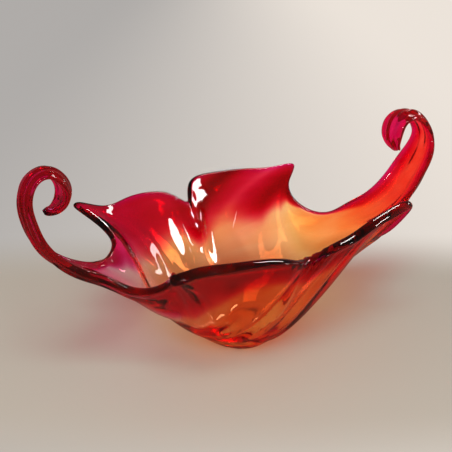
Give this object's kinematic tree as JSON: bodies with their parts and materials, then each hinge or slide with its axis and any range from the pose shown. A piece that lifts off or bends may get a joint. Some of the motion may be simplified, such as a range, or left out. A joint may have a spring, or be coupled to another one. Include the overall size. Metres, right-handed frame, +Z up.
{
  "type": "art glass bowl",
  "caption": "Footed hot-worked glass centrepiece bowl: long curled arms, flared pointed lobes and pinched rim, amber inside fading to ruby at the edges.",
  "frame": {"origin": "centre of the ground foot, on the table plane", "axes": "+X along the two arms towards the wider arm, +Y to the back rim, +Z up"},
  "size_m": [0.456, 0.2116, 0.2027],
  "materials": {
    "clear_glass": "fire-polished, ground foot",
    "ruby_glass": "fire-polished",
    "amber_glass": "fire-polished"
  },
  "bodies": {
    "root": {"clear_casing": "clear_glass", "ruby_overlay": "ruby_glass", "amber_core": "amber_glass"}
  },
  "joints": []
}
